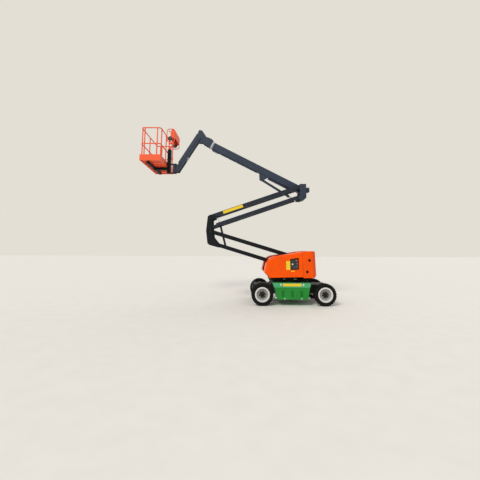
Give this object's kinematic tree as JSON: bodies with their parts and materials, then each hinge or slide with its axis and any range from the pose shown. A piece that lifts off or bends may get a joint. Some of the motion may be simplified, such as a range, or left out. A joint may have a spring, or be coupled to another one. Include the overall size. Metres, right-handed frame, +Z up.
{
  "type": "articulating boom lift",
  "caption": "Self-propelled articulating boom lift: wheeled chassis with battery boxes, slewing turret, folding riser, telescopic boom, jib and railed work platform.",
  "frame": {"origin": "on the ground under the middle of the bounding box, with the riser and booms as they stand in the picture", "axes": "+X the way the booms reach and the machine drives forward, +Y the machine's left, +Z up"},
  "size_m": [6.5789, 1.83, 6.274],
  "materials": {
    "structure_paint": "satin",
    "fly_paint": "satin",
    "box_paint": "gloss",
    "cover_paint": "gloss",
    "counterweight_paint": "gloss",
    "platform_paint": "gloss",
    "console_plastic": "satin",
    "panel_plastic": "matte",
    "rod_chrome": "polished",
    "ring_steel": "machined",
    "tyre_rubber": "matte",
    "rim_paint": "satin",
    "battery_cases": "matte",
    "pump_housing": "satin"
  },
  "bodies": {
    "chassis": {"chassis_frame": "structure_paint", "slewing_ring": "ring_steel", "front_axle": "structure_paint", "rear_axle": "structure_paint", "battery_box_left": "box_paint", "battery_box_right": "box_paint", "battery_pack_left": "battery_cases", "battery_pack_right": "battery_cases"},
    "battery_door_left": {"battery_door_left": "box_paint"},
    "battery_door_right": {"battery_door_right": "box_paint"},
    "steer_left": {"steer_knuckle_left": "structure_paint"},
    "steer_right": {"steer_knuckle_right": "structure_paint"},
    "tie_rod": {"tie_rod": "structure_paint"},
    "wheel_front_left": {"rim_front_left": "rim_paint", "tyre_front_left": "tyre_rubber"},
    "wheel_front_right": {"rim_front_right": "rim_paint", "tyre_front_right": "tyre_rubber"},
    "wheel_rear_left": {"rim_rear_left": "rim_paint", "tyre_rear_left": "tyre_rubber"},
    "wheel_rear_right": {"rim_rear_right": "rim_paint", "tyre_rear_right": "tyre_rubber"},
    "turret": {"turret_frame": "structure_paint", "counterweight": "counterweight_paint", "ground_controls": "panel_plastic", "power_unit": "pump_housing"},
    "hood_left": {"hood_left": "cover_paint"},
    "hood_right": {"hood_right": "cover_paint"},
    "lower_riser_arm": {"lower_riser_arm": "structure_paint"},
    "lower_riser_link": {"lower_riser_link": "structure_paint"},
    "riser_knuckle": {"riser_knuckle": "structure_paint"},
    "upper_riser_arm": {"upper_riser_arm": "structure_paint"},
    "upper_riser_link": {"upper_riser_link": "structure_paint"},
    "boom_upright": {"boom_upright": "structure_paint"},
    "riser_cylinder_barrel": {"riser_cylinder_barrel": "structure_paint"},
    "riser_cylinder_rod": {"riser_cylinder_rod": "rod_chrome"},
    "main_boom": {"main_boom": "structure_paint"},
    "lift_cylinder_barrel": {"lift_cylinder_barrel": "structure_paint"},
    "lift_cylinder_rod": {"lift_cylinder_rod": "rod_chrome"},
    "fly": {"fly_boom": "fly_paint", "fly_head": "structure_paint"},
    "jib_mount": {"jib_mount": "structure_paint"},
    "jib_arm": {"jib_arm": "structure_paint"},
    "jib_link": {"jib_link": "structure_paint"},
    "jib_cylinder_barrel": {"jib_cylinder_barrel": "structure_paint"},
    "jib_cylinder_rod": {"jib_cylinder_rod": "rod_chrome"},
    "jib_end": {"jib_end": "structure_paint"},
    "platform": {"platform_support": "platform_paint", "platform_floor": "platform_paint", "front_rails": "platform_paint", "rear_rails": "platform_paint", "left_rails": "platform_paint", "right_rails": "platform_paint", "control_console": "console_plastic"},
    "platform_gate": {"platform_gate": "platform_paint"}
  },
  "joints": [
    {"name": "battery_door_left_hinge", "type": "hinge", "parent": "chassis", "child": "battery_door_left", "pos_m": [-1.919, 0.8626, 0.573], "axis": [1, 0, 0], "range_deg": [0, 90]},
    {"name": "battery_door_right_hinge", "type": "hinge", "parent": "chassis", "child": "battery_door_right", "pos_m": [-1.919, -0.8626, 0.573], "axis": [-1, 0, 0], "range_deg": [0, 90]},
    {"name": "steering_left", "type": "hinge", "parent": "chassis", "child": "steer_left", "pos_m": [-0.904, 0.59, 0.3555], "axis": [0, 0, 1], "range_deg": [-33, 33]},
    {"name": "steering_right", "type": "hinge", "parent": "chassis", "child": "steer_right", "pos_m": [-0.904, -0.59, 0.3555], "axis": [0, 0, 1], "range_deg": [-33, 33]},
    {"name": "tie_rod_pin", "type": "hinge", "parent": "steer_left", "child": "tie_rod", "pos_m": [-1.054, 0.59, 0.2955], "axis": [0, 0, 1], "range_deg": [-33, 33]},
    {"name": "wheel_front_left_spin", "type": "hinge", "parent": "steer_left", "child": "wheel_front_left", "pos_m": [-0.904, 0.755, 0.3555], "axis": [0, 1, 0], "continuous": true},
    {"name": "wheel_front_right_spin", "type": "hinge", "parent": "steer_right", "child": "wheel_front_right", "pos_m": [-0.904, -0.755, 0.3555], "axis": [0, 1, 0], "continuous": true},
    {"name": "wheel_rear_left_spin", "type": "hinge", "parent": "chassis", "child": "wheel_rear_left", "pos_m": [-2.934, 0.755, 0.3555], "axis": [0, 1, 0], "continuous": true},
    {"name": "wheel_rear_right_spin", "type": "hinge", "parent": "chassis", "child": "wheel_rear_right", "pos_m": [-2.934, -0.755, 0.3555], "axis": [0, 1, 0], "continuous": true},
    {"name": "turret_slew", "type": "hinge", "parent": "chassis", "child": "turret", "pos_m": [-1.919, 0, 0.779], "axis": [0, 0, 1], "range_deg": [-178, 178]},
    {"name": "hood_left_hinge", "type": "hinge", "parent": "turret", "child": "hood_left", "pos_m": [-1.297, 0.285, 1.571], "axis": [0.9877, 0, -0.1563], "range_deg": [0, 70]},
    {"name": "hood_right_hinge", "type": "hinge", "parent": "turret", "child": "hood_right", "pos_m": [-1.297, -0.285, 1.571], "axis": [-0.9877, 0, 0.1563], "range_deg": [0, 70]},
    {"name": "riser_lift", "type": "hinge", "parent": "turret", "child": "lower_riser_arm", "pos_m": [-2.069, 0, 1.14], "axis": [0, -1, 0], "range_deg": [-16.8, 43.2]},
    {"name": "lower_link_pivot", "type": "hinge", "parent": "turret", "child": "lower_riser_link", "pos_m": [-2.099, 0, 1.55], "axis": [0, -1, 0], "range_deg": [-16.8, 43.2]},
    {"name": "knuckle_pivot", "type": "hinge", "parent": "lower_riser_arm", "child": "riser_knuckle", "pos_m": [0.91114, 0, 2.03976], "axis": [0, 1, 0], "range_deg": [-16.8, 43.2]},
    {"name": "upper_arm_pivot", "type": "hinge", "parent": "riser_knuckle", "child": "upper_riser_arm", "pos_m": [0.91114, 0, 2.93976], "axis": [0, 1, 0], "range_deg": [-16.8, 43.2]},
    {"name": "upper_link_pivot", "type": "hinge", "parent": "riser_knuckle", "child": "upper_riser_link", "pos_m": [0.88114, 0, 2.55976], "axis": [0, 1, 0], "range_deg": [-16.8, 43.2]},
    {"name": "upright_pivot", "type": "hinge", "parent": "upper_riser_arm", "child": "boom_upright", "pos_m": [-2.41892, 0, 4.08964], "axis": [0, -1, 0], "range_deg": [-16.8, 43.2]},
    {"name": "riser_cylinder_pivot", "type": "hinge", "parent": "lower_riser_arm", "child": "riser_cylinder_barrel", "pos_m": [0.33008, 0.135, 1.84343], "axis": [0, 1, 0], "range_deg": [-12.5, 32.1]},
    {"name": "riser_cylinder_stroke", "type": "slide", "parent": "riser_cylinder_barrel", "child": "riser_cylinder_rod", "axis": [0.2512, 0, 0.9679], "range_m": [-0.207, 0.532]},
    {"name": "boom_lift", "type": "hinge", "parent": "boom_upright", "child": "main_boom", "pos_m": [-2.44892, 0, 3.92464], "axis": [0, -1, 0], "range_deg": [-27.5, 47.5]},
    {"name": "lift_cylinder_pivot", "type": "hinge", "parent": "main_boom", "child": "lift_cylinder_barrel", "pos_m": [-0.93642, 0, 4.37378], "axis": [0, 1, 0], "range_deg": [-1.3, 2.2]},
    {"name": "lift_cylinder_stroke", "type": "slide", "parent": "lift_cylinder_barrel", "child": "lift_cylinder_rod", "axis": [-0.8443, 0, -0.5359], "range_m": [-0.193, 0.333]},
    {"name": "boom_extend", "type": "slide", "parent": "main_boom", "child": "fly", "axis": [0.887, 0, 0.4617], "range_m": [-0.032, 2.2]},
    {"name": "jib_mount_level", "type": "hinge", "parent": "fly", "child": "jib_mount", "pos_m": [1.16968, 0, 5.83317], "axis": [0, 1, 0], "range_deg": [-27.5, 47.5]},
    {"name": "jib_lift", "type": "hinge", "parent": "jib_mount", "child": "jib_arm", "pos_m": [1.37068, 0, 6.15917], "axis": [0, -1, 0], "range_deg": [-6.2, 128.8]},
    {"name": "jib_link_pivot", "type": "hinge", "parent": "jib_mount", "child": "jib_link", "pos_m": [1.37068, 0, 5.93717], "axis": [0, -1, 0], "range_deg": [-6.2, 128.8]},
    {"name": "jib_cylinder_pivot", "type": "hinge", "parent": "jib_mount", "child": "jib_cylinder_barrel", "pos_m": [1.39068, 0, 5.82917], "axis": [0, -1, 0], "range_deg": [-6.2, 127.5]},
    {"name": "jib_cylinder_stroke", "type": "slide", "parent": "jib_cylinder_barrel", "child": "jib_cylinder_rod", "axis": [0.5416, 0, -0.8406], "range_m": [-0.029, 0.596]},
    {"name": "jib_end_level", "type": "hinge", "parent": "jib_arm", "child": "jib_end", "pos_m": [2.13736, 0, 4.89323], "axis": [0, 1, 0], "range_deg": [-6.2, 128.8]},
    {"name": "platform_turn", "type": "hinge", "parent": "jib_end", "child": "platform", "pos_m": [2.28936, 0, 4.89323], "axis": [0, 0, 1], "range_deg": [-90, 90]},
    {"name": "gate_hinge", "type": "hinge", "parent": "platform", "child": "platform_gate", "pos_m": [3.10536, -0.8918, 5.34923], "axis": [0, 0, -1], "range_deg": [0, 90]}
  ],
  "couplings": [
    {"joint": "steering_right", "follows": "steering_left", "ratio": 1},
    {"joint": "tie_rod_pin", "follows": "steering_left", "ratio": -1},
    {"joint": "lower_link_pivot", "follows": "riser_lift", "ratio": 1},
    {"joint": "knuckle_pivot", "follows": "riser_lift", "ratio": 1},
    {"joint": "upper_arm_pivot", "follows": "riser_lift", "ratio": 1},
    {"joint": "upper_link_pivot", "follows": "riser_lift", "ratio": 1},
    {"joint": "upright_pivot", "follows": "riser_lift", "ratio": 1},
    {"joint": "riser_cylinder_pivot", "follows": "riser_lift", "ratio": 0.74032},
    {"joint": "riser_cylinder_stroke", "follows": "riser_lift", "m_per_rad": 0.7044},
    {"joint": "lift_cylinder_pivot", "follows": "boom_lift", "ratio": 0.04326},
    {"joint": "lift_cylinder_stroke", "follows": "boom_lift", "m_per_rad": 0.40127},
    {"joint": "jib_mount_level", "follows": "boom_lift", "ratio": 1},
    {"joint": "jib_link_pivot", "follows": "jib_lift", "ratio": 1},
    {"joint": "jib_cylinder_pivot", "follows": "jib_lift", "ratio": 0.98814},
    {"joint": "jib_cylinder_stroke", "follows": "jib_lift", "m_per_rad": 0.26493},
    {"joint": "jib_end_level", "follows": "jib_lift", "ratio": 1}
  ]
}
